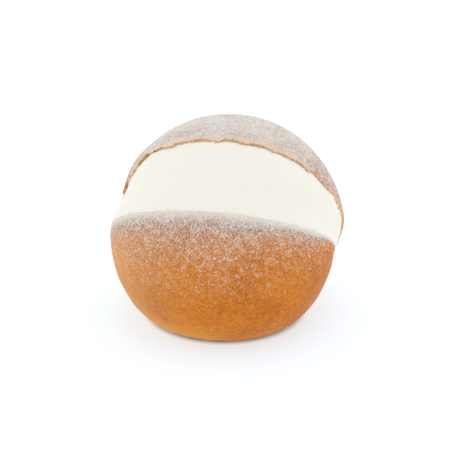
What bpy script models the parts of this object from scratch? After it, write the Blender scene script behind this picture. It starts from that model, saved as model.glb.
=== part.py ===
"""Maritozzo: a round sweet bun, slit from the front like a mouth and filled level with whipped cream.

The bun is one piece: a ball of dough with a flat base, cut as far as a hinge line behind its middle. The
cream is a wedge that runs from the mouth back to that line.

Both start as spheres whose poles are the two corners of the mouth. The meridians of such a sphere run from
corner to corner, as the lips of the cut do, and the functions below move each meridian to its place.
X points right, Y away from the viewer and Z up. The mouth faces -Y, and the bun stands on Z = 0.
"""

import math

import bmesh
import bpy
from mathutils import Vector, noise

MM = 0.001

# The ball of dough.
BALL_RADIUS = 50.6 * MM
BALL_HEIGHT = 38.0 * MM  # its middle, above the surface that it stands on
BASE_ROUNDING = 2.3 * MM  # how softly the wall turns into the base
BASE_CUT = 0.75 * MM  # what the tray has pressed flat

# The mouth. Angles are measured round the hinge line, from straight ahead upwards.
HINGE_BEHIND = 18.0 * MM  # the hinge line lies this far behind the ball's middle
MOUTH_TURN = math.radians(11.7)  # the mouth looks a little to the left
MOUTH_TILT = math.radians(-1.1)  # and its right end a little up
RIGHT_END_LIFT = math.radians(1.9)  # the hinge line bends up by this towards its right end
MOUTH_MIDDLE = math.radians(44.7)
LOWER_LIP = math.radians(34.1)
UPPER_LIP = math.radians(63.3)

# The lips turn inwards, and the left end of the upper one turns in most.
CURL_REACH = math.radians(9.0)
LOWER_LIP_CURL = 0.5 * MM
UPPER_LIP_CURL = 0.5 * MM
LEFT_END_CURL = 4.9 * MM
LEFT_END = math.radians(26.2)  # where along the lip it turns in most
LEFT_END_SPREAD = math.radians(22.2)
CORNER = math.radians(22.0)  # over this swing the curl dies away at each corner
TORN_EDGE = 1.4 * MM  # height of the crags on the torn edge of the lid
TORN_EDGE_SCALE = 5.0 * MM

# Below the mouth the bun has slumped to the left, and it is a little narrower there.
SLUMP = 2.7 * MM
SLUMP_NARROWING = 0.038
SLUMP_AT_BASE = 0.76  # share of the slump that is left at the base
SLUMP_BAND = 4.0 * MM
SLUMP_BAND_BEHIND = 0.5  # the band grows by this share of the distance behind the hinge
SLUMP_RISE = 0.09  # and the slump starts higher by this share of the distance to the right
SAG = 0.0345  # how much fuller the wall is low down
SAG_HEIGHT = 1.0 * MM
SAG_BAND = 23.0 * MM
UNEVENNESS = 0.5 * MM
UNEVENNESS_SCALE = 28.0 * MM

# The cream.
CREAM_GAP = 0.45 * MM  # left between cream and crumb at the lips
CREAM_BACK = 1.8 * MM  # the cream ends this much further from the hinge than that gap asks for
CREAM_BULGE = 1.0 * MM
CREAM_BELOW_LOWER_LIP = 0.1 * MM
CREAM_BELOW_UPPER_LIP = 0.5 * MM
CREAM_START_RING = 2  # the rings of the bun between which the cream lies, counted from each corner
CREAM_END = 0.16  # over this part of its swing the cream rounds off at each end

# Mesh: meridians on the crust and on each side of the cut, and rings from corner to corner.
CRUST_STEPS = 50
CUT_STEPS = 4
RINGS = 72
CREAM_FACE_STEPS = 12
CREAM_CUT_STEPS = 4
LIP_CROWDING = 0.045  # draws the crust's meridians towards the lips

# Looks. Colours are linear.
CRUST_COLOUR = (0.55, 0.21, 0.05)
CRUST_ROUGHNESS = 0.55
CREAM_COLOUR = (0.90, 0.87, 0.79)
CREAM_ROUGHNESS = 0.45
SHARP_ANGLE = math.radians(40.0)

NOISE_SEED = 5
BALL_MIDDLE = Vector((0, 0, BALL_HEIGHT))
CRUST_SWEEP = 2 * math.pi - (UPPER_LIP - LOWER_LIP)


def mouth_axes():
    """The mouth's own directions: along the hinge from left to right, straight ahead, and up."""
    along = Vector(
        (
            math.cos(MOUTH_TURN) * math.cos(MOUTH_TILT),
            -math.sin(MOUTH_TURN) * math.cos(MOUTH_TILT),
            -math.sin(MOUTH_TILT),
        )
    )
    ahead = Vector((-math.sin(MOUTH_TURN), -math.cos(MOUTH_TURN), 0))
    ahead = (ahead - along * along.dot(ahead)).normalized()
    return along, ahead, ahead.cross(along)


ALONG, AHEAD, UP = mouth_axes()


def around_hinge(angle):
    """The direction square to the hinge line at this angle."""
    return AHEAD * math.cos(angle) + UP * math.sin(angle)


HINGE = BALL_MIDDLE - around_hinge(MOUTH_MIDDLE) * HINGE_BEHIND
TO_CORNER = math.sqrt(BALL_RADIUS**2 - HINGE_BEHIND**2)


def along_hinge(swing):
    """The hinge's direction, bent up to the right. Swing is 0 at the left corner and pi at the right."""
    return (ALONG + UP * math.tan(RIGHT_END_LIFT) * max(0.0, -math.cos(swing))).normalized()


def ball_point(swing, angle):
    """Where the line that leaves the hinge at this swing and angle meets the ball."""
    direction = around_hinge(angle) * math.sin(swing) - along_hinge(swing) * math.cos(swing)
    direction.normalize()
    offset = HINGE - BALL_MIDDLE
    behind = direction.dot(offset)
    reach = -behind + math.sqrt(behind**2 + BALL_RADIUS**2 - offset.length_squared)
    return HINGE + direction * reach


def hinge_point(swing):
    """The point of the hinge line that belongs to a swing."""
    return HINGE - along_hinge(swing) * math.cos(swing) * TO_CORNER


def lip_curls(swing):
    """How far the lower and the upper lip turn in."""
    fade = min(1.0, math.sin(swing) / math.sin(CORNER))
    left = LEFT_END_CURL * math.exp(-(((swing - LEFT_END) / LEFT_END_SPREAD) ** 2))
    return LOWER_LIP_CURL * fade, (UPPER_LIP_CURL + left) * fade


def crust_point(swing, share):
    """A point of the crust. Share runs from 0 at the lower lip, under and behind the bun, to 1 above."""
    share -= LIP_CROWDING * math.sin(2 * math.pi * share)
    point = ball_point(swing, LOWER_LIP - share * CRUST_SWEEP)
    near_low = max(0.0, 1 - share * CRUST_SWEEP / CURL_REACH)
    near_high = max(0.0, 1 - (1 - share) * CRUST_SWEEP / CURL_REACH)
    low_curl, high_curl = lip_curls(swing)
    curl = low_curl * near_low**2 + high_curl * near_high**2
    crags = noise.noise(point / TORN_EDGE_SCALE) * TORN_EDGE * near_high * math.sin(swing)
    return point + (BALL_MIDDLE - point).normalized() * (curl + crags)


def cut_point(swing, depth, upper):
    """A point of the cut: depth 0 at the lip and 1 at the hinge."""
    lip = crust_point(swing, 1.0 if upper else 0.0)
    return lip.lerp(hinge_point(swing), depth)


def cream_section(swing):
    """The cream's outline at this swing: its edge at the hinge, at the lower lip and at the upper lip."""
    hinge = hinge_point(swing)
    low_side = cut_point(swing, 0, upper=False) - hinge
    high_side = cut_point(swing, 0, upper=True) - hinge
    half_opening = low_side.angle(high_side) / 2
    forward = (low_side.normalized() + high_side.normalized()).normalized()
    into = CREAM_GAP / math.sin(half_opening)
    start = hinge + forward * into
    low = start + low_side.normalized() * (low_side.length - into - CREAM_BELOW_LOWER_LIP)
    high = start + high_side.normalized() * (high_side.length - into - CREAM_BELOW_UPPER_LIP)
    return start + forward * CREAM_BACK * math.sin(swing), low, high


def cream_point(turn, share, side):
    """A point of the cream. Turn runs from its left end to its right end, as a swing does."""
    start = math.pi * CREAM_START_RING / RINGS
    swing = start + (math.pi - 2 * start) * turn / math.pi
    back, low, high = cream_section(swing)
    if side == "front":
        outward = ((low + high) / 2 - back).normalized()
        bulge = CREAM_BULGE * math.sin(math.pi * share) * math.sin(swing)
        point = low.lerp(high, share) + outward * bulge
    elif side == "upper":
        point = high.lerp(back, share)
    else:
        point = back.lerp(low, share)
    from_end = min(1.0, min(turn, math.pi - turn) / CREAM_END)
    fullness = math.sqrt(1 - (1 - from_end) ** 2)
    return ((back + low + high) / 3).lerp(point, fullness)


def settle(point):
    """The shape that the whole bun takes as it stands: flat underneath, slumped and a little uneven."""
    above = (point - HINGE).dot(around_hinge(MOUTH_MIDDLE + math.pi / 2)) - SLUMP_RISE * max(0.0, point.x)
    behind = max(0.0, (HINGE - point).dot(around_hinge(MOUTH_MIDDLE)))
    slumped = (1 - math.tanh(above / (SLUMP_BAND + SLUMP_BAND_BEHIND * behind))) / 2
    x, y, z = point + noise.noise_vector(point / UNEVENNESS_SCALE) * UNEVENNESS
    sag = 1 + SAG * math.exp(-(((z - SAG_HEIGHT) / SAG_BAND) ** 2))
    x, y = x * sag, y * sag
    lean = SLUMP_AT_BASE + (1 - SLUMP_AT_BASE) * z / BALL_HEIGHT
    x -= (SLUMP * lean + SLUMP_NARROWING * x) * slumped
    z = (z + math.sqrt(z * z + BASE_ROUNDING**2)) / 2
    return Vector((x, y, max(z - BASE_CUT, 0.0)))


def ball_mesh(name, steps, rings, place):
    """A sphere with its poles at the mouth's corners, whose vertices place() has moved.

    Its meridians are counted from +Y, where the first one lies, and its left corner is at the foot.
    """
    mesh = bpy.data.meshes.new(name)
    bm = bmesh.new()
    bmesh.ops.create_uvsphere(bm, u_segments=steps, v_segments=rings, radius=1)
    for vertex in bm.verts:
        x, y, z = vertex.co
        swing = math.acos(max(-1.0, min(1.0, -z)))
        step = round(math.atan2(-x, y) / (2 * math.pi) * steps) % steps
        vertex.co = settle(place(swing, step))
    bm.to_mesh(mesh)
    bm.free()
    return mesh


def place_on_bun(swing, step):
    """Round the crust from the lower lip to the upper one, then into the cut and out again."""
    if step <= CRUST_STEPS:
        return crust_point(swing, step / CRUST_STEPS)
    into = step - CRUST_STEPS
    if into <= CUT_STEPS:
        return cut_point(swing, into / CUT_STEPS, upper=True)
    return cut_point(swing, 2 - into / CUT_STEPS, upper=False)


def place_on_cream(turn, step):
    """Down the cream's front, back along its underside and forward again along its upper side."""
    if step <= CREAM_FACE_STEPS:
        return cream_point(turn, 1 - step / CREAM_FACE_STEPS, "front")
    into = step - CREAM_FACE_STEPS
    if into <= CREAM_CUT_STEPS:
        return cream_point(turn, 1 - into / CREAM_CUT_STEPS, "lower")
    return cream_point(turn, 2 - into / CREAM_CUT_STEPS, "upper")


def plain_material(name, colour, roughness):
    material = bpy.data.materials.new(name)
    material.use_nodes = True
    shader = material.node_tree.nodes["Principled BSDF"]
    shader.inputs["Base Color"].default_value = (*colour, 1)
    shader.inputs["Roughness"].default_value = roughness
    shader.inputs["Metallic"].default_value = 0.0
    return material


def add_part(name, mesh, material, collection):
    part = bpy.data.objects.new(name, mesh)
    mesh.materials.append(material)
    mesh.shade_smooth()
    mesh.set_sharp_from_angle(angle=SHARP_ANGLE)
    collection.objects.link(part)
    return part


def stand_on_origin(parts):
    """Moves the meshes so that the middle of the base of their common box is the origin."""
    points = [vertex.co for part in parts for vertex in part.data.vertices]
    low = Vector([min(p[i] for p in points) for i in range(3)])
    high = Vector([max(p[i] for p in points) for i in range(3)])
    shift = Vector((-(low.x + high.x) / 2, -(low.y + high.y) / 2, -low.z))
    for part in parts:
        for vertex in part.data.vertices:
            vertex.co += shift


def build():
    for old in list(bpy.data.objects):
        bpy.data.objects.remove(old)
    noise.seed_set(NOISE_SEED)
    collection = bpy.data.collections.new("maritozzo")
    bpy.context.scene.collection.children.link(collection)
    bun_mesh = ball_mesh("bun", CRUST_STEPS + 2 * CUT_STEPS, RINGS, place_on_bun)
    cream_rings = RINGS - 2 * CREAM_START_RING
    cream_mesh = ball_mesh("cream", CREAM_FACE_STEPS + 2 * CREAM_CUT_STEPS, cream_rings, place_on_cream)
    crust = plain_material("baked_crust", CRUST_COLOUR, CRUST_ROUGHNESS)
    cream = plain_material("whipped_cream", CREAM_COLOUR, CREAM_ROUGHNESS)
    stand_on_origin(
        [
            add_part("bun", bun_mesh, crust, collection),
            add_part("cream", cream_mesh, cream, collection),
        ]
    )


build()
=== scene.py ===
# %% [markdown]
# # A maritozzo, dusted with icing sugar
#
# A maritozzo is a round sweet bun that is slit from the front like a mouth. The slit is filled with
# whipped cream, which is smoothed level with the crust, and the whole is dusted with icing sugar. The two
# plain solids, the bun and the cream, are already modelled at their real size. This lesson gives them the
# surface of the real thing: crust, torn crumb, sugar and cream. It starts by loading the solids.

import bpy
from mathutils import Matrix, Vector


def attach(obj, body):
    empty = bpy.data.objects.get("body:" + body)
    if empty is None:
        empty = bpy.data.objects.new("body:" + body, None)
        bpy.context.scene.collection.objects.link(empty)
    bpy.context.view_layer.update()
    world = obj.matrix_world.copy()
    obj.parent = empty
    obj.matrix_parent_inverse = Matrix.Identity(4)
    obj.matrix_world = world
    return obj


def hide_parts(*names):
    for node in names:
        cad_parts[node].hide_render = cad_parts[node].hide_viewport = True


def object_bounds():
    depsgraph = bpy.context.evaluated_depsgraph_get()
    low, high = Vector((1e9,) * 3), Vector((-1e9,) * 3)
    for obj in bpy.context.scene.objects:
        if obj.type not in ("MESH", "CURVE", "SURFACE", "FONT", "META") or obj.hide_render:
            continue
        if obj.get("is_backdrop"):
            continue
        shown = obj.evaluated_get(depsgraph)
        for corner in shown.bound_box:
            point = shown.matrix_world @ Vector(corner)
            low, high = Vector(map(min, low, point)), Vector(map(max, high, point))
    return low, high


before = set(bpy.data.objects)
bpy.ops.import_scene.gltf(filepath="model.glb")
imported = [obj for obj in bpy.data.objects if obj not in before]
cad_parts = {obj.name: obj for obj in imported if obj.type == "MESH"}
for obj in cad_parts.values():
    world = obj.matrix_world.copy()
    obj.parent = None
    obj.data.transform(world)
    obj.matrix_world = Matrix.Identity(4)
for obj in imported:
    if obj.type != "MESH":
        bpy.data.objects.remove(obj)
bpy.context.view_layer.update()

# %% [markdown]
# ## Camera
#
# The picture was taken from a little above, straight into the open mouth. A long lens keeps a small
# object from looking swollen, so the camera stands about half a metre away with a 100 mm lens. Where it
# looks is one point inside the bun, and its place follows from that point, the distance and the height
# angle.

# %% Place the camera
import math

import bmesh
import bpy
import numpy as np
from mathutils import Matrix, Vector, kdtree, noise
from mathutils.bvhtree import BVHTree

MM = 0.001
LOOK_AT = Vector((-1.1, 0, 39.8)) * MM
CAMERA_DISTANCE = 544 * MM
CAMERA_RISE = math.radians(22)
CAMERA_LENS = 100
NEAREST_SEEN = 10 * MM

scene = bpy.context.scene
camera = bpy.data.objects.new("camera", bpy.data.cameras.new("camera"))
camera.data.lens = CAMERA_LENS
camera.data.clip_start = NEAREST_SEEN
camera.location = LOOK_AT + CAMERA_DISTANCE * Vector((0, -math.cos(CAMERA_RISE), math.sin(CAMERA_RISE)))
camera.rotation_euler = (math.pi / 2 - CAMERA_RISE, 0, 0)
scene.collection.objects.link(camera)
scene.camera = camera
print("camera at", [round(1000 * c) for c in camera.location], "mm")

# %% [markdown]
# ## A broad lamp
#
# The bun was photographed in a light tent: white all round, with no hard shadow. Most of that light comes
# from the world, which a later step makes. One broad, weak lamp above gives the crust some form. The view
# transform is Standard, which leaves colours as they are instead of dulling the bright ones.

# %% Hang the lamp
LAMP_POWER = 1.4
LAMP_SIZE = 0.9
LAMP_PLACE = Vector((0.2, -0.1, 1.5))

scene.view_settings.view_transform = "Standard"
lamp = bpy.data.objects.new("softbox", bpy.data.lights.new("softbox", "AREA"))
lamp.data.energy = LAMP_POWER
lamp.data.size = LAMP_SIZE
lamp.location = LAMP_PLACE
lamp.rotation_euler = (-LAMP_PLACE).to_track_quat("-Z", "Y").to_euler()
scene.collection.objects.link(lamp)
print("lamp", LAMP_SIZE, "m wide,", LAMP_POWER, "W")

# %% [markdown]
# ## Helpers for materials and pieces
#
# A material here is a graph of small nodes. Each helper adds one kind of node and returns what comes out
# of it, so that a material reads from top to bottom like a list of sums. The last helper makes an object
# of a finished mesh.

# %% Define the helpers
def new_material(name, colour, roughness):
    """A material whose one shader starts plain. Returns it with its tree of nodes and that shader."""
    material = bpy.data.materials.new(name)
    material.use_nodes = True
    tree = material.node_tree
    shader = tree.nodes["Principled BSDF"]
    shader.inputs["Base Color"].default_value = (*colour, 1)
    shader.inputs["Roughness"].default_value = roughness
    return material, tree, shader


def add_node(tree, kind, inputs=(), **settings):
    """A shader node with its settings, and its inputs linked or set, by name or number."""
    node = tree.nodes.new(kind)
    for name, value in settings.items():
        setattr(node, name, value)
    for socket, value in dict(inputs).items():
        if isinstance(value, bpy.types.NodeSocket):
            tree.links.new(value, node.inputs[socket])
        else:
            node.inputs[socket].default_value = value
    return node


def object_place(tree):
    """Where a point lies in its object, in metres."""
    return add_node(tree, "ShaderNodeTexCoord").outputs["Object"]


def span(tree, value, low, high, to_low=0.0, to_high=1.0):
    """The value moved from the range low to high into the range to_low to to_high, and held inside it."""
    inputs = {"Value": value, "From Min": low, "From Max": high, "To Min": to_low, "To Max": to_high}
    return add_node(tree, "ShaderNodeMapRange", inputs).outputs["Result"]


def calculate(tree, operation, first, second):
    """One sum of two values."""
    return add_node(tree, "ShaderNodeMath", {0: first, 1: second}, operation=operation).outputs[0]


def mix_colour(tree, share, first, second):
    """A colour between two: the first where share is 0, the second where it is 1."""
    inputs = {"Factor": share, 6: first, 7: second}
    return add_node(tree, "ShaderNodeMix", inputs, data_type="RGBA").outputs[2]


def piece_from(bm, name, *materials):
    """Turns a bmesh into a new object at the origin, shaded smooth."""
    mesh = bpy.data.meshes.new(name)
    bm.to_mesh(mesh)
    bm.free()
    for material in materials:
        mesh.materials.append(material)
    mesh.shade_smooth()
    piece = bpy.data.objects.new(name, mesh)
    scene.collection.objects.link(piece)
    return piece


WHITE = (1, 1, 1, 1)
print("helpers defined, and white is", WHITE)

# %% [markdown]
# ## Light from all round
#
# A white world does what the tent did. It is dimmer towards the camera, where a tent has its opening, so
# that what faces the camera is a little darker than the sides. How far a direction agrees with the one to
# the camera is their dot product, and the brightness follows from it.

# %% Light the world
WORLD_LIGHT = 1.04
OPENING_LIGHT = 0.66
OPENING_EDGE = (0.50, 0.98)

scene.world = bpy.data.worlds.new("studio")
scene.world.use_nodes = True
tree = scene.world.node_tree
to_camera = (camera.location - LOOK_AT).normalized()
sky_direction = add_node(tree, "ShaderNodeTexCoord").outputs["Generated"]
towards = add_node(tree, "ShaderNodeVectorMath", {0: sky_direction, 1: to_camera}, operation="DOT_PRODUCT")
strength = span(tree, towards.outputs["Value"], *OPENING_EDGE, WORLD_LIGHT, OPENING_LIGHT)
sky = tree.nodes["Background"]
sky.inputs["Color"].default_value = WHITE
tree.links.new(strength, sky.inputs["Strength"])
print("world light", WORLD_LIGHT, "and", OPENING_LIGHT, "in the opening")

# %% [markdown]
# ## The table
#
# The table is a plane that runs past the edges of the picture. Much of its brightness is painted light:
# its own glow, as if it were lit from below, so that the shadow stays faint and hardly picks up the colour
# of the crust. Near the bun the glow is a little weaker and the table's colour is bluish, to cancel the
# orange that the crust throws on it. The glow stops under the bun, which paints a thin dark line where it
# touches the table.

# %% Lay the table
TABLE_SIZE = 6.0
# Bluish near the bun, a painted colour that cancels the orange light the crust throws on the table.
TABLE_NEAR = (0.37, 0.47, 0.56, 1)
TABLE_FAR = (0.38, 0.39, 0.40, 1)
TABLE_GLOW = (0.61, 0.68)
TABLE_DULLNESS = 0.7
TABLE_SHINE = 0.1
GLOW_FROM = 45 * MM
GLOW_TO = 100 * MM
UNDER_BUN = (32 * MM, 36.5 * MM)
BASE_MIDDLE = Vector((-1.3, 0, 0)) * MM

table_white, tree, shader = new_material("table_white", TABLE_NEAR[:3], TABLE_DULLNESS)
place = object_place(tree)
from_middle = add_node(tree, "ShaderNodeVectorMath", {0: place, 1: BASE_MIDDLE}, operation="DISTANCE")
away = from_middle.outputs["Value"]
in_open = span(tree, away, GLOW_FROM, GLOW_TO)
tree.links.new(mix_colour(tree, in_open, TABLE_NEAR, TABLE_FAR), shader.inputs["Base Color"])
# Painted light: the table glows, a little less near the bun and not at all under it, which paints a dark
# line where they touch.
not_under = span(tree, away, *UNDER_BUN)
glow = calculate(tree, "MULTIPLY", not_under, span(tree, in_open, 0, 1, *TABLE_GLOW))
tree.links.new(glow, shader.inputs["Emission Strength"])
shader.inputs["Emission Color"].default_value = WHITE
shader.inputs["Specular IOR Level"].default_value = TABLE_SHINE
bm = bmesh.new()
bmesh.ops.create_grid(bm, x_segments=1, y_segments=1, size=TABLE_SIZE)
table = piece_from(bm, "table", table_white)
table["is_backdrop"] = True
print("table", 2 * TABLE_SIZE, "m wide")

# %% [markdown]
# ## A finer copy of each solid
#
# The plain solids have facets a few millimetres wide, which is too coarse for crumb and crust. Each is
# copied, its loose triangles are merged into one skin of four-sided faces, and a Subdivision Surface
# rounds it. These two helpers do the merging and the rounding.

# %% Define how a solid is merged and rounded
WELD = 0.001 * MM
PAIR_ANGLE = math.radians(50)
ROUNDING_LEVELS = 2


def merged_copy(node):
    """One closed skin of a solid, with its triangles joined in pairs."""
    bm = bmesh.new()
    bm.from_mesh(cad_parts[node].data)
    bmesh.ops.remove_doubles(bm, verts=bm.verts, dist=WELD)
    bmesh.ops.join_triangles(
        bm, faces=bm.faces, angle_face_threshold=PAIR_ANGLE, angle_shape_threshold=math.pi
    )
    bm.normal_update()
    return bm


def rounded(bm, levels):
    """The same skin after a Subdivision Surface, worked out at once."""
    piece = piece_from(bm, "blank")
    rounding = piece.modifiers.new("rounding", "SUBSURF")
    rounding.levels = levels
    rounding.render_levels = levels
    finer = bpy.data.meshes.new_from_object(piece.evaluated_get(bpy.context.evaluated_depsgraph_get()))
    bm = bmesh.new()
    bm.from_mesh(finer)
    blank = piece.data
    bpy.data.objects.remove(piece)
    bpy.data.meshes.remove(blank)
    bpy.data.meshes.remove(finer)
    bm.normal_update()
    return bm


cream_blank = merged_copy("cream")
bun_blank = merged_copy("bun")
print("merged: cream", len(cream_blank.faces), "faces, bun", len(bun_blank.faces), "faces")

# %% [markdown]
# ## Mark the lips and the cut
#
# The lips of the slit must stay crisp, so their edges get a crease. The bun's skin also carries marks,
# kept as attributes: 1 on each lip, and 1 inside the cut. Subdivision blends them, and later steps
# measure from them. The two points where the most edges meet are the corners of the mouth. With the
# cream's middle they give the direction across the mouth, which tells the upper lip from the lower one.

# %% Crease the lips and mark them
LIP_ANGLE = math.radians(38)
LIP_CREASE = 1.5
CUT_TO_CREAM = 1.0 * MM

cream_creases = cream_blank.edges.layers.float.new("crease_edge")
for edge in cream_blank.edges:
    edge[cream_creases] = 1.0 if edge.calc_face_angle(0) > LIP_ANGLE else 0.0
cream_tree = BVHTree.FromBMesh(cream_blank)
cream_middle = sum((v.co for v in cream_blank.verts), Vector()) / len(cream_blank.verts)

creases = bun_blank.edges.layers.float.new("crease_edge")
marks = {name: bun_blank.verts.layers.float.new(name) for name in ("upper_lip", "lower_lip", "cut")}
corners = sorted(bun_blank.verts, key=lambda v: len(v.link_edges))[-2:]
left_corner, right_corner = sorted((v.co.copy() for v in corners), key=lambda co: co.x)
mouth_up = (right_corner - left_corner).cross(cream_middle - left_corner).normalized()
mouth_up *= math.copysign(1, mouth_up.z)

sharp = [e for e in bun_blank.edges if e.calc_face_angle(0) > LIP_ANGLE]
lip_verts = {v for e in sharp if e.is_convex for v in e.verts}
fold_verts = {v for e in sharp if not e.is_convex for v in e.verts}
for edge in sharp:
    edge[creases] = LIP_CREASE
for vert in bun_blank.verts:
    if vert in lip_verts:
        above = (vert.co - left_corner).dot(mouth_up) > 0
        vert[marks["upper_lip" if above else "lower_lip"]] = 1
    elif vert in fold_verts or cream_tree.find_nearest(vert.co)[3] < CUT_TO_CREAM:
        vert[marks["cut"]] = 1
print("mouth from", left_corner * 1000, "to", right_corner * 1000, "with", len(lip_verts), "lip points")

# %% [markdown]
# ## Let the cream cling
#
# The plain solids keep a narrow gap between cream and crumb. The cream's sides are swelled by its width,
# so that the cream clings to the crumb. Along the lower lip it is also smeared a little down and
# forwards, over the lip. Then both skins are rounded.

# %% Swell the cream and round both skins
FRONT = Vector((0, -1, 0.5)).normalized()
FACES_FRONT = 0.5
CREAM_SWELL = 0.42 * MM
CREAM_OVER_LIP = FRONT * 0.10 * MM - mouth_up * 0.42 * MM

swells = []
for vert in cream_blank.verts:
    sides = (face.normal for face in vert.link_faces if face.normal.dot(FRONT) < FACES_FRONT)
    side = sum(sides, Vector())
    rim = any(edge[cream_creases] > 0 for edge in vert.link_edges)
    smear = rim and (vert.co - left_corner).dot(mouth_up) < 0
    swells.append((vert, side.normalized() * CREAM_SWELL + (CREAM_OVER_LIP if smear else Vector())))
for vert, swell in swells:
    vert.co += swell
crust = rounded(bun_blank, ROUNDING_LEVELS)
cream = rounded(cream_blank, ROUNDING_LEVELS)
print("crust", len(crust.faces), "faces, cream", len(cream.faces))

# %% [markdown]
# ## Distances from the lips
#
# Torn crumb shows only within a few millimetres of the upper lip, and icing sugar lies thick along the
# lower one. Both need the distance to a lip, for every point of the crust. A k-d tree of the lip's points
# answers that quickly. The outer skin near the upper lip is then cut finer, because crumb is far smaller
# than its faces.

# %% Measure from the lips and cut the torn strip finer
FINE_REACH = (3.8 * MM, 2.3 * MM)
WHOLE_MARK = 0.999
HALF_MARK = 0.5


def points_marked(bm, name):
    """A k-d tree of the points where a mark is whole."""
    mark = bm.verts.layers.float[name]
    places = [v.co for v in bm.verts if v[mark] > WHOLE_MARK]
    tree = kdtree.KDTree(len(places))
    for number, place in enumerate(places):
        tree.insert(place, number)
    tree.balance()
    print(name, len(places), "points")
    return tree


upper_lip = points_marked(crust, "upper_lip")
lower_lip = points_marked(crust, "lower_lip")
for reach in FINE_REACH:
    cut = crust.verts.layers.float["cut"]
    near = {v for v in crust.verts if v[cut] < HALF_MARK and upper_lip.find(v.co)[2] < reach}
    edges = [e for e in crust.edges if e.verts[0] in near and e.verts[1] in near]
    bmesh.ops.subdivide_edges(crust, edges=edges, cuts=1, use_grid_fill=True)
crust.normal_update()
print("crust", sum(len(face.verts) - 2 for face in crust.faces), "triangles after the cuts")

# %% [markdown]
# ## Where the lid is torn
#
# Where the knife stopped, the crust of the lid has torn, and a strip of crumb shows under its edge. The
# strip's width wanders along the lip, so it comes from noise. Two patches at the left end are wider.
# Towards the right end the crust has only split, and next to nothing shows. Two curves describe all this:
# a smooth step from 0 to 1 and a bell around a middle.

# %% Define the torn strip
TORN_WIDTH = 0.70 * MM
TORN_WANDER = ((5.0 * MM, 0.7 * MM), (1.6 * MM, 0.6 * MM))
TORN_WIDER = ((-44.2 * MM, 2.0 * MM, 2.4 * MM), (-34.5 * MM, 2.3 * MM, 2.0 * MM))
TORN_ENDS = (31 * MM, 36 * MM)
TORN_AGAIN = (41 * MM, 46 * MM)
TORN_SOFTNESS = 0.5 * MM
CUT_FADE = 3.0 * MM


def smooth_step(low, high, value):
    """0 below low, 1 above high, and a smooth rise between them. It falls where low is above high."""
    t = min(1.0, max(0.0, (value - low) / (high - low)))
    return t * t * (3 - 2 * t)


def bell(value, middle, spread):
    """1 at the middle, falling off on both sides within about the spread."""
    return math.exp(-(((value - middle) / spread) ** 2))


def highest_bell(value, spots):
    """The highest of several bells at a value, each with its middle and spread."""
    return max(bell(value, middle, spread) for middle, spread in spots)


def only_split(x):
    """1 on the stretch of the lip that has split but hardly torn, 0 elsewhere."""
    return smooth_step(*TORN_ENDS, x) - smooth_step(*TORN_AGAIN, x)


def torn_share(place, away, inside, narrowed):
    """How far a place is torn, from 0 to 1, at its distance from the upper lip."""
    if inside:
        return smooth_step(CUT_FADE, CUT_FADE / 2, away)
    wander = sum(noise.noise(place / size) * amount for size, amount in TORN_WANDER)
    wider = sum(bell(place.x, middle, spread) * more for middle, spread, more in TORN_WIDER)
    width = (TORN_WIDTH + wander + wider) * narrowed
    return smooth_step(width, width - TORN_SOFTNESS, away)


print("only split from x =", 1000 * TORN_ENDS[0], "to", 1000 * TORN_AGAIN[1], "mm")

# %% [markdown]
# ## Tear the edge
#
# Inside the strip, each point moves along its normal by noise: crumb is the fine kind, crags are the
# coarse kind, and two crevices cut in at the left. The lip itself hangs down raggedly, more so at two
# ledges. One mark keeps painted shade and light for the crumb: darker where crumb and crags sink and in
# the crevices, lighter where they rise, with a painted shadow line, broken in places, right along the lip.
# Another mark, "torn", keeps the strip itself. Nearness to the lip is "fringe", and over a wider reach
# "halo", so that colour and shape agree. Near the right corner the points stay where they are.

# %% Tear the edge
TORN_LEFT_OVER = 0.18
TORN_LIMIT = 5.0 * MM
CRUMB_SIZE = 0.9 * MM
CRUMB_HEIGHT = 0.42 * MM
CRUMB_SINK = 0.18 * MM
CRAG_SIZE = 2.6 * MM
CRAG_HEIGHT = 0.35 * MM
CREVICES = ((-33.7 * MM, 2.4 * MM), (-43.3 * MM, 0.9 * MM))
CREVICE_DEPTH = 0.9 * MM
CREVICE_REACH = (0.9 * MM, 0.2 * MM)
# A painted shadow line right along the upper lip, where crumb meets cream, broken into pieces by noise.
PAINTED_SHADOW_REACH = 0.40 * MM
PAINTED_SHADOW_DARK = 0.6
PAINTED_SHADOW_LENGTH = 4 * MM
PAINTED_SHADOW_GAPS = (-0.4, 0.2)
# Painted shade for the crumb: an even base, darker where crumb and crags sink and in the crevices, lighter
# where they rise.
PIT_SHADE_EVEN = 0.35
PIT_SHADE_BY_CRUMB = 1.1
PIT_SHADE_BY_CRAG = 0.5
PIT_SHADE_BY_CREVICE = 0.8
LEDGES = ((-44.5 * MM, 3.0 * MM), (-35.0 * MM, 2.6 * MM))
LEDGE_DROP = 0.9 * MM
LEDGE_REACH = 1.1 * MM
FRINGE_REACH = 0.7 * MM
HALO_REACH = 2.4 * MM
RAGGED = ((5.5 * MM, 1.3 * MM), (2.0 * MM, 0.6 * MM), (0.9 * MM, 0.3 * MM))
RAGGED_REACH = 2.6 * MM
RAGGED_LIFT = -0.20 * MM
CORNER_CALM = (3 * MM, 12 * MM)


def ragged_drop(place):
    """How far the torn lip hangs down at a place, or stands up where the value is below 0."""
    return sum(noise.noise(place / size) * amount for size, amount in RAGGED)


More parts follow.
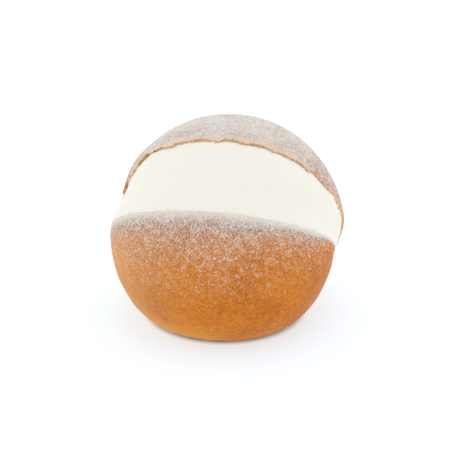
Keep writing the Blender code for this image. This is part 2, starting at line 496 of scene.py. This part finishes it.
torn_mark = crust.verts.layers.float.new("torn")
fringe_mark = crust.verts.layers.float.new("fringe")
halo_mark = crust.verts.layers.float.new("halo")
ledge_mark = crust.verts.layers.float.new("ledge")
# This mark holds painted shade for the crumb's colour.
pit_shade_mark = crust.verts.layers.float.new("pit_shade")
cut_mark = crust.verts.layers.float["cut"]
moves = []
for vert in crust.verts:
    away = upper_lip.find(vert.co)[2]
    narrowed = 1 - (1 - TORN_LEFT_OVER) * only_split(vert.co.x)
    vert[halo_mark] = bell(away, 0, HALO_REACH) * narrowed
    if away > TORN_LIMIT:
        continue
    inside = vert[cut_mark] > 0
    torn = torn_share(vert.co, away, inside, narrowed)
    crumb = noise.noise(vert.co / CRUMB_SIZE)
    crag = noise.noise(vert.co / CRAG_SIZE)
    crevice = highest_bell(vert.co.x, CREVICES)
    height = crumb * CRUMB_HEIGHT + crag * CRAG_HEIGHT - CRUMB_SINK
    height -= CREVICE_DEPTH * crevice * smooth_step(*CREVICE_REACH, away)
    vert[torn_mark] = 1.0 if inside else torn
    # Painted shadow: a dark line along the lip, with gaps.
    painted_shadow = bell(away, 0, PAINTED_SHADOW_REACH) * PAINTED_SHADOW_DARK
    painted_shadow *= smooth_step(*PAINTED_SHADOW_GAPS, noise.noise(vert.co / PAINTED_SHADOW_LENGTH))
    # Painted shade and light from the relief, the crevices and the shadow line.
    pit_shade = PIT_SHADE_EVEN - PIT_SHADE_BY_CRUMB * crumb - PIT_SHADE_BY_CRAG * crag + PIT_SHADE_BY_CREVICE * crevice + painted_shadow
    vert[pit_shade_mark] = min(1.0, max(0.0, pit_shade))
    vert[fringe_mark] = bell(away, 0, FRINGE_REACH) * narrowed
    ledge = highest_bell(vert.co.x, LEDGES)
    vert[ledge_mark] = ledge * bell(away, 0, LEDGE_REACH)
    drop = max(RAGGED_LIFT, ragged_drop(vert.co)) + LEDGE_DROP * ledge
    drop *= smooth_step(RAGGED_REACH, 0, away)
    calm = smooth_step(*CORNER_CALM, (vert.co - right_corner).length)
    moves.append((vert, (vert.normal * height * torn - mouth_up * drop) * calm))
for vert, move in moves:
    vert.co += move
print("torn strip:", len(moves), "points moved")

# %% [markdown]
# ## Where the sugar lies
#
# Icing sugar falls from a sieve, so it is thickest where the crust faces up, and below the widest part of
# the bun there are only specks. The lid keeps some of it off the crust below the mouth. Sugar also piles
# up where crust meets cream along the lower lip, except near its right end, and it has come off where the
# lid tore. This helper gives the share of the crust that sugar covers at any place.

# %% Define how much sugar lies at a place
SIEVE = Vector((-0.09, -0.05, 1.0)).normalized()
DUST_FULL = 0.84
DUST_FROM = -0.25
DUST_TO = 0.95
DUST_POWER = (1.80, 0.85)
LID_BAND = 8 * MM
LIP_DUST = ((0.62, 3.7 * MM), (0.55, 1.4 * MM))
BARE_RIGHT = (46 * MM, 36 * MM)
BARE_RIGHT_KEEPS = 0.5
BARE_NEAR_TEAR = 0.45
BARE_REACH = (1.3 * MM, 4.5 * MM)
PATCH_SIZE = 9 * MM
PATCH_SHARE = 0.28


def between(ends, share):
    """The value that lies a share of the way from the first end to the second."""
    return ends[0] + (ends[1] - ends[0]) * share


def dust_on(place, normal):
    """The share of the crust that sugar covers at a place."""
    facing = min(1.0, max(0.0, (normal.dot(SIEVE) - DUST_FROM) / (DUST_TO - DUST_FROM)))
    lid = smooth_step(-LID_BAND, LID_BAND, (place - left_corner).dot(mouth_up))
    fall = facing ** between(DUST_POWER, lid) * DUST_FULL
    piled = sum(amount * math.exp(-lower_lip.find(place)[2] / reach) for amount, reach in LIP_DUST)
    kept = smooth_step(*BARE_RIGHT, place.x)
    fall *= max(lid, between((BARE_RIGHT_KEEPS, 1), kept))
    patch = 1 + PATCH_SHARE * noise.noise(place / PATCH_SIZE)
    reach = between(BARE_REACH, only_split(place.x))
    bare = BARE_NEAR_TEAR * math.exp(-upper_lip.find(place)[2] / reach)
    return min(1.0, (fall * patch + piled * kept) * (1 - bare))


print("sugar on the lower lip's middle:", round(dust_on(lower_lip.find(LOOK_AT)[0], FRONT), 2))

# %% [markdown]
# ## Dust and dent the crust
#
# The amount is kept as the mark "dust" on each point, and the material and the grains both read it. The
# mark "seam" is highest on the lower lip itself, and "stray" is 1 all over the outer skin, where single
# specks may lie. The same pass gives the crust the slight dents of baked dough, and puckers where it
# stood on the tray.

# %% Dust the crust
SEAM_REACH = 1.0 * MM
DENTS = ((9 * MM, 0.16 * MM), (2.8 * MM, 0.06 * MM))
PUCKER_HEIGHT = 6 * MM
PUCKER = ((3.5 * MM, 0.28 * MM), (1.6 * MM, 0.10 * MM))
FLAT_BASE = 0.3 * MM

crust.normal_update()
dust_mark = crust.verts.layers.float.new("dust")
seam_mark = crust.verts.layers.float.new("seam")
stray_mark = crust.verts.layers.float.new("stray")
moves = []
for vert in crust.verts:
    if vert[cut_mark] > 0:
        continue
    vert[dust_mark] = dust_on(vert.co, vert.normal) * (1 - vert[torn_mark])
    vert[seam_mark] = bell(lower_lip.find(vert.co)[2], 0, SEAM_REACH)
    vert[stray_mark] = 1
    dent = sum(noise.noise(vert.co / size) * depth for size, depth in DENTS)
    low_down = smooth_step(PUCKER_HEIGHT, 0, vert.co.z) * smooth_step(0, FLAT_BASE, vert.co.z)
    dent += low_down * sum(noise.noise(vert.co / size) * depth for size, depth in PUCKER)
    moves.append((vert, vert.normal * dent))
for vert, move in moves:
    vert.co += move
print("dusted", sum(v[dust_mark] > HALF_MARK for v in crust.verts), "points thickly")

# %% [markdown]
# ## Patterns for materials
#
# The crust's material needs three more sources of values from 0 to 1: the marks on its points, noise for
# slow changes, and little cells that look like grains. A weight says how much each counts in a sum.

# %% Define the patterns
NOISE_SPREAD = (0.3, 0.7)
CELL_SPREAD = (0.15, 1.15)
CELL_GAP = 0.35


def mark_value(tree, name):
    """A mark that the points of the mesh carry."""
    return add_node(tree, "ShaderNodeAttribute", attribute_name=name).outputs["Fac"]


def noise_value(tree, place, size, detail=2.0, roughness=0.5):
    """Noise whose features are about size metres wide, spread over 0 to 1."""
    inputs = {"Vector": place, "Scale": 1 / size, "Detail": detail, "Roughness": roughness}
    texture = add_node(tree, "ShaderNodeTexNoise", inputs)
    return span(tree, texture.outputs["Fac"], *NOISE_SPREAD)


def weighted(tree, value, weight):
    """A value times its weight."""
    return calculate(tree, "MULTIPLY", value, weight)


def cell_value(tree, place, size):
    """A random value for each little cell of the size, lower towards its edge, as grains have gaps."""
    cells = add_node(tree, "ShaderNodeTexVoronoi", {"Vector": place, "Scale": 1 / size})
    own_value = span(tree, cells.outputs["Color"], 0, 1, *CELL_SPREAD)
    return calculate(tree, "SUBTRACT", own_value, weighted(tree, cells.outputs["Distance"], CELL_GAP))


print("patterns defined")

# %% [markdown]
# ## The baked skin
#
# One material covers the whole crust, and the next steps build it up. Its base is golden brown, in slow
# patches of lighter and darker bake with fine flecks. It is more golden low on the left. Towards the sides
# it
# is painted paler: painted light that stands for the brighter light on crust seen at a low angle.

# %% Mix the colours of the baked skin
CRUST_LIGHT = (0.715, 0.245, 0.021, 1)
CRUST_DARK = (0.47, 0.115, 0.006, 1)
CRUST_GOLD = (0.84, 0.39, 0.035, 1)
# Painted light: the paler colour towards the sides stands for the light that crust seen at a low angle
# catches.
CRUST_PAINTED_EDGE_LIGHT = (0.80, 0.42, 0.14, 1)
SKIN_DULLNESS = 0.55
SLOW_BAKE = (22 * MM, 0.30)
FINE_BAKE = (0.55 * MM, 0.30)
FLECKS = (2.0 * MM, 0.42)
FLECK_DETAIL = (4, 0.7)
BAKE_SPREAD = (0.25, 0.80)
GOLD_BELOW = (13 * MM, 2 * MM)
GOLD_LEFT = (12 * MM, -25 * MM)
GOLD_PATCH_SIZE = 9 * MM
EDGE_LIGHT_FROM_X = -14 * MM
EDGE_LIGHT_SIDES = (30 * MM, 62 * MM)
EDGE_LIGHT_SHARE = 0.5
FINE_DETAIL = 3

baked_crust, tree, shader = new_material("baked_crust_dusted", CRUST_LIGHT[:3], SKIN_DULLNESS)
place = object_place(tree)
slow_bake = weighted(tree, noise_value(tree, place, SLOW_BAKE[0]), SLOW_BAKE[1])
fine_bake = weighted(tree, cell_value(tree, place, FINE_BAKE[0]), FINE_BAKE[1])
flecks = weighted(tree, noise_value(tree, place, FLECKS[0], *FLECK_DETAIL), FLECKS[1])
slow_bake = calculate(tree, "ADD", slow_bake, flecks)
bake = span(tree, calculate(tree, "ADD", slow_bake, fine_bake), *BAKE_SPREAD)
skin = mix_colour(tree, bake, CRUST_LIGHT, CRUST_DARK)

parts = add_node(tree, "ShaderNodeSeparateXYZ", {"Vector": place}).outputs
low = span(tree, parts["Z"], *GOLD_BELOW)
low_left = calculate(tree, "MULTIPLY", low, span(tree, parts["X"], *GOLD_LEFT))
gold_patches = span(tree, noise_value(tree, place, GOLD_PATCH_SIZE, FINE_DETAIL), 0, 1, 0.5, 1)
skin = mix_colour(tree, calculate(tree, "MULTIPLY", low_left, gold_patches), skin, CRUST_GOLD)
# Painted light: paler by distance from x = 14 mm, not by the direction the crust faces.
sideways = calculate(tree, "ABSOLUTE", calculate(tree, "ADD", parts["X"], EDGE_LIGHT_FROM_X), 0)
skin = mix_colour(tree, span(tree, sideways, *EDGE_LIGHT_SIDES, 0, EDGE_LIGHT_SHARE), skin, CRUST_PAINTED_EDGE_LIGHT)
print("baked skin with", len(tree.nodes), "nodes")

# %% [markdown]
# ## Sugar on the skin
#
# Under thin sugar the skin is a dusky brown: partly the crust seen through the sugar, partly painted shade
# between the grains. Under thick sugar it is nearly white. Grains lie on top where fine noise passes a
# limit that the mark "dust" sets: single grains where there is little sugar, a veil with holes where there
# is much. The grains go from peach to white, whiter towards the back. Along the lower lip, skin and grains
# are
# whitened nearly to cream: partly sugar piled in the seam, partly painted light that lifts the shade in
# the crease. Near the torn edge the sugar is tinted by peach crumb.

# %% Lay sugar over the skin
# Dusky brown: partly crust seen through thin sugar, partly painted shade between the grains.
CRUST_UNDER_SUGAR_SHADED = (0.39, 0.19, 0.115, 1)
CRUMB_LIGHT = (0.93, 0.65, 0.40, 1)
SUGAR_THIN = (0.84, 0.63, 0.48, 1)
# Near-cream white along the lower lip: partly piled sugar, partly painted light over the crease's shade.
SEAM_SUGAR_AND_LIGHT = (0.93, 0.87, 0.76, 1)
SUGAR_COOL = (0.79, 0.795, 0.775, 1)
SUGAR_WHITE = (0.745, 0.69, 0.63, 1)
PEACH = (0.88, 0.56, 0.37, 1)
DUSKY_FROM = (0.08, 0.5)
VEIL_FROM = (0.5, 1)
VEIL_SHARE = 0.6
GRAINS_WHITE_FROM = (0.12, 0.55)
BEHIND = (-20 * MM, 4 * MM)
GRAINS = (0.36 * MM, 0.66)
CLUMPS = (0.75 * MM, 0.16)
DRIFTS = (2.4 * MM, 0.18)
DUST_CURVE = 0.28
DUST_WEIGHT = 0.65
SUGAR_LIMIT = 1.02
SUGAR_SOFTNESS = 0.34
PEACH_SIZE = 3.5 * MM
PEACH_SHARE = 0.85

dust = mark_value(tree, "dust")
halo = mark_value(tree, "halo")
seam_sugar_and_light = mark_value(tree, "seam")
# Painted shade under the sugar, turning peach near the torn edge.
under_sugar_shaded = mix_colour(tree, halo, CRUST_UNDER_SUGAR_SHADED, CRUMB_LIGHT)
skin = mix_colour(tree, span(tree, dust, *DUSKY_FROM), skin, under_sugar_shaded)
skin = mix_colour(tree, span(tree, dust, *VEIL_FROM, 0, VEIL_SHARE), skin, SUGAR_WHITE)
# Painted light along the lower lip, partly for sugar piled in the seam.
skin = mix_colour(tree, seam_sugar_and_light, skin, SEAM_SUGAR_AND_LIGHT)
sugar = mix_colour(tree, span(tree, dust, *GRAINS_WHITE_FROM), SUGAR_THIN, SUGAR_WHITE)
sugar = mix_colour(tree, span(tree, parts["Y"], *BEHIND), sugar, SUGAR_COOL)
sugar = mix_colour(tree, seam_sugar_and_light, sugar, SEAM_SUGAR_AND_LIGHT)

grain = weighted(tree, cell_value(tree, place, GRAINS[0]), GRAINS[1])
clump = weighted(tree, cell_value(tree, place, CLUMPS[0]), CLUMPS[1])
drift = weighted(tree, noise_value(tree, place, DRIFTS[0]), DRIFTS[1])
speckle = calculate(tree, "ADD", calculate(tree, "ADD", grain, clump), drift)
amount = weighted(tree, calculate(tree, "POWER", dust, DUST_CURVE), DUST_WEIGHT)
limits = (SUGAR_LIMIT - SUGAR_SOFTNESS / 2, SUGAR_LIMIT + SUGAR_SOFTNESS / 2)
cover = span(tree, calculate(tree, "ADD", speckle, amount), *limits)
dusted = mix_colour(tree, cover, skin, sugar)
peach = calculate(tree, "MULTIPLY", halo, noise_value(tree, place, PEACH_SIZE, FINE_DETAIL))
dusted = mix_colour(tree, weighted(tree, peach, PEACH_SHARE), dusted, PEACH)
print("sugar grains", GRAINS[0] * 1000, "mm wide, with", len(tree.nodes), "nodes so far")

# %% [markdown]
# ## Crumb, dullness and relief
#
# The torn strip mixes in crumb. It is darker where painted shade lies in its pits and crevices and along
# the lip, lighter where the crumb rises, and more golden in the two torn patches at the left end. Sugar
# and crumb are duller than the baked skin, so the same masks raise the roughness. A bump lets the sugar
# stand a little above the skin. The finished mesh then becomes the piece that takes the bun's place.

# %% Finish the crust
# The dark crumb colours go where the painted shade lies on the crust, and at random on the loose crumbs.
CRUMB_DARK = (0.58, 0.35, 0.21, 1)
CRUMB_GOLD = (0.84, 0.47, 0.17, 1)
CRUMB_BROWN = (0.32, 0.14, 0.035, 1)
GOLDEN_LEFT = (-26 * MM, -31 * MM)
CRUMB_FLECKS = (0.5 * MM, 0.4)
CRUMB_SPREAD = (0.55, 1.25)
CRUST_DULLNESS = (0.5, 0.92)
SUGAR_RELIEF = 0.6
SKIN_RELIEF_SIZE = 0.8 * MM
CRUST_RELIEF = 0.07 * MM
CRUST_BUMP = 0.6
CRUST_SHINE = 0.15


# On the crust the darkness is painted shade; on the loose crumbs it is random tone.
def crumb_by_place(tree, place, darkness):
    """Crumb from light to dark, more golden in the two torn patches at the left end."""
    sideways = add_node(tree, "ShaderNodeSeparateXYZ", {"Vector": place}).outputs["X"]
    golden = span(tree, sideways, *GOLDEN_LEFT)
    light = mix_colour(tree, golden, CRUMB_LIGHT, CRUMB_GOLD)
    dark = mix_colour(tree, golden, CRUMB_DARK, CRUMB_BROWN)
    return mix_colour(tree, darkness, light, dark)


crumb_flecks = weighted(tree, noise_value(tree, place, CRUMB_FLECKS[0]), CRUMB_FLECKS[1])
# Painted shade from the mark, with random flecks added.
crumb_shade_and_flecks = calculate(tree, "ADD", mark_value(tree, "pit_shade"), crumb_flecks)
crumb_colour = crumb_by_place(tree, place, span(tree, crumb_shade_and_flecks, *CRUMB_SPREAD))
torn = mark_value(tree, "torn")
tree.links.new(mix_colour(tree, torn, dusted, crumb_colour), shader.inputs["Base Color"])
dull = calculate(tree, "MAXIMUM", cover, torn)
tree.links.new(span(tree, dull, 0, 1, *CRUST_DULLNESS), shader.inputs["Roughness"])
skin_relief = noise_value(tree, place, SKIN_RELIEF_SIZE, FINE_DETAIL)
relief = calculate(tree, "ADD", weighted(tree, cover, SUGAR_RELIEF), skin_relief)
bump_inputs = {"Height": relief, "Distance": CRUST_RELIEF, "Strength": CRUST_BUMP}
bump = add_node(tree, "ShaderNodeBump", bump_inputs)
tree.links.new(bump.outputs["Normal"], shader.inputs["Normal"])
shader.inputs["Specular IOR Level"].default_value = CRUST_SHINE
print("crust material with", len(tree.nodes), "nodes")

crust_piece = piece_from(crust, "crust", baked_crust)
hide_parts("bun")
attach(crust_piece, "root")
print("crust piece", len(crust_piece.data.polygons), "faces")

# %% [markdown]
# ## Whipped cream
#
# The cream fills the slit level with the crust, and a spatula has left very faint upright strokes. Cream
# lets light in a little way before it comes out again, which softens it, so its material has some
# subsurface scattering. The strokes are a bump from noise that is stretched upwards, with fine bubbles
# between them.

# %% Make the cream
CREAM_UNEVEN = 0.10 * MM
CREAM_WAVE = 6 * MM
CREAM_COLOUR = (0.92, 0.89, 0.81)
CREAM_WARM = (0.93, 0.895, 0.805, 1)
CREAM_COOL = (0.94, 0.92, 0.845, 1)
CREAM_DULLNESS = 0.5
CREAM_SHINE = 0.25
TONE_SIZE = 16 * MM
STROKE_SIZE = 1.4 * MM
STROKE_STRETCH = (1, 1, 0.08)
BUBBLE_SIZE = 0.7 * MM
BUBBLE_RELIEF = 0.35
CREAM_RELIEF = 0.08 * MM
CREAM_BUMP = 0.7
LIGHT_INSIDE = 0.25
LIGHT_REACH = 1.5 * MM
LIGHT_COLOURS = (1.0, 0.9, 0.75)

for vert in cream.verts:
    vert.co += vert.normal * noise.noise(vert.co / CREAM_WAVE) * CREAM_UNEVEN

whipped_cream, tree, shader = new_material("whipped_cream_smoothed", CREAM_COLOUR, CREAM_DULLNESS)
place = object_place(tree)
tone = noise_value(tree, place, TONE_SIZE, FINE_DETAIL)
strokes = add_node(tree, "ShaderNodeMapping", {"Vector": place, "Scale": STROKE_STRETCH}).outputs[0]
stroke = noise_value(tree, strokes, STROKE_SIZE, FINE_DETAIL)
tone = calculate(tree, "ADD", weighted(tree, tone, 0.5), weighted(tree, stroke, 0.5))
tree.links.new(mix_colour(tree, tone, CREAM_WARM, CREAM_COOL), shader.inputs["Base Color"])
bubbles = noise_value(tree, place, BUBBLE_SIZE)
relief = calculate(tree, "ADD", stroke, weighted(tree, bubbles, BUBBLE_RELIEF))
bump_inputs = {"Height": relief, "Distance": CREAM_RELIEF, "Strength": CREAM_BUMP}
bump = add_node(tree, "ShaderNodeBump", bump_inputs)
tree.links.new(bump.outputs["Normal"], shader.inputs["Normal"])
shader.inputs["Subsurface Weight"].default_value = LIGHT_INSIDE
shader.inputs["Subsurface Radius"].default_value = LIGHT_COLOURS
shader.inputs["Subsurface Scale"].default_value = LIGHT_REACH
shader.inputs["Specular IOR Level"].default_value = CREAM_SHINE

cream_piece = piece_from(cream, "cream_filling", whipped_cream)
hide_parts("cream")
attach(cream_piece, "root")
print("cream piece", len(cream_piece.data.polygons), "faces")

# %% [markdown]
# ## How grains are scattered
#
# From close by, icing sugar is a powder of tiny grains and clumps, which stand proud of the crust. Each
# is a small squashed ball of twenty faces, set on a random point of the crust. The chance that a face
# gets one grows with its area and with a mark. The balls are made in batches, because one large mesh is
# slow to add to.

# %% Define how grains are placed and made
BATCH = 300
GRAIN_LENGTH = (0.8, 1.3)
GRAIN_HEIGHT = (0.5, 0.9)
GRAIN_OUT = 0.25
SEED = 11
dice = np.random.default_rng(SEED)


def marked_places(piece, mark, power, count):
    """Random points of a piece with their normals. Faces with more of the mark get more of them."""
    mesh = piece.data
    mesh.calc_loop_triangles()
    corners = np.empty(len(mesh.loop_triangles) * 3, np.int32)
    mesh.loop_triangles.foreach_get("vertices", corners)
    corners = corners.reshape(-1, 3)
    places = np.empty(len(mesh.vertices) * 3)
    mesh.vertices.foreach_get("co", places)
    places = places.reshape(-1, 3)
    share = np.empty(len(mesh.vertices))
    mesh.attributes[mark].data.foreach_get("value", share)
    first, second, third = (places[corners[:, i]] for i in range(3))
    normals = np.cross(second - first, third - first)
    areas = np.linalg.norm(normals, axis=1)
    weights = areas * share[corners].mean(axis=1) ** power
    chosen = dice.choice(len(corners), size=count, p=weights / weights.sum())
    u, v = dice.random((2, count, 1))
    u, v = np.where(u + v > 1, 1 - u, u), np.where(u + v > 1, 1 - v, v)
    spots = first[chosen] + u * (second - first)[chosen] + v * (third - first)[chosen]
    return spots, normals[chosen] / areas[chosen, None]


def scattered(name, spots, normals, radii, material):
    """One piece of many small squashed balls, each sunk a little into what it lies on."""
    whole = bmesh.new()
    for start in range(0, len(spots), BATCH):
        batch = bmesh.new()
        some = slice(start, start + BATCH)
        for spot, normal, radius in zip(spots[some], normals[some], radii[some]):
            turn = Vector(normal).to_track_quat("Z", "Y").to_matrix().to_4x4()
            twist = Matrix.Rotation(dice.uniform(0, math.tau), 4, "Z")
            length = radius * dice.uniform(*GRAIN_LENGTH)
            height = radius * dice.uniform(*GRAIN_HEIGHT)
            shape = Matrix.Diagonal((length, radius, height, 1))
            middle = Matrix.Translation(spot + normal * radius * GRAIN_OUT)
            matrix = middle @ turn @ twist @ shape
            bmesh.ops.create_icosphere(batch, subdivisions=1, radius=1, matrix=matrix)
        mesh = bpy.data.meshes.new("batch")
        batch.to_mesh(mesh)
        batch.free()
        whole.from_mesh(mesh)
        bpy.data.meshes.remove(mesh)
    return piece_from(whole, name, material)


print("random numbers start from seed", SEED)

# %% [markdown]
# ## Sugar and crumbs
#
# Two pieces of fine grains follow the dust, one of them keeping closer to where it is thick. A few stray
# specks lie all over the crust, and a row of grains fills the seam between lower lip and cream. Larger
# balls in crumb colours hang along the upper lip, and the largest at the two ledges on the left. Each
# line of the table gives a mark, the power that sharpens it, the number and radius of the grains, and how
# far they are moved up or down along the mouth at random.

# %% Scatter the grains
SCATTERS = {
    "sugar_fine": ("dust", 1.0, 8400, 0.11 * MM, 0.0, 0.0),
    "sugar_coarse": ("dust", 1.8, 7000, 0.11 * MM, 0.0, 0.0),
    "sugar_stray": ("stray", 1.0, 280, 0.17 * MM, 0.0, 0.0),
    "sugar_in_seam": ("seam", 1.0, 6000, 0.12 * MM, -0.3 * MM, 0.7 * MM),
    "torn_crumbs": ("fringe", 1.5, 1100, 0.27 * MM, -0.3 * MM, 0.0),
    "crumb_ledges": ("ledge", 1.2, 460, 0.36 * MM, -0.6 * MM, 0.1 * MM),
}
SUGAR_MARKS = ("dust", "stray", "seam")
ICING = (0.93, 0.89, 0.83)
ICING_DULLNESS = 0.75
ICING_SHINE = 0.3
CRUMB_DULLNESS = 0.9
CRUMB_PATCH_SIZE = 1.2 * MM
GRAIN_SPREAD = 0.40
BIG_GRAIN_SHARE = 0.02
BIG_GRAIN_TIMES = 1.8

icing_sugar, tree, shader = new_material("icing_sugar", ICING, ICING_DULLNESS)
shader.inputs["Specular IOR Level"].default_value = ICING_SHINE
torn_crumb, tree, shader = new_material("torn_crumb", CRUMB_LIGHT[:3], CRUMB_DULLNESS)
place = object_place(tree)
crumb_colour = crumb_by_place(tree, place, noise_value(tree, place, CRUMB_PATCH_SIZE))
tree.links.new(crumb_colour, shader.inputs["Base Color"])
shader.inputs["Specular IOR Level"].default_value = CRUST_SHINE
for name, (mark, power, count, size, *climbs) in SCATTERS.items():
    spots, normals = marked_places(crust_piece, mark, power, count)
    spots = spots + np.outer(dice.uniform(*climbs, count), mouth_up)
    radii = size * np.exp(dice.normal(0, GRAIN_SPREAD, count))
    radii[dice.random(count) < BIG_GRAIN_SHARE] *= BIG_GRAIN_TIMES
    material = icing_sugar if mark in SUGAR_MARKS else torn_crumb
    grains = scattered(name, spots, normals, radii, material)
    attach(grains, "root")
    print(name, len(grains.data.polygons), "faces")

# %% [markdown]
# ## Sizes, and the end
#
# The dressed bun must be as large as the plain one, so the box around its shown pieces is printed.

# %% Write the sizes and finish
low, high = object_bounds()
print("size in mm:", [round(1000 * s, 1) for s in high - low])
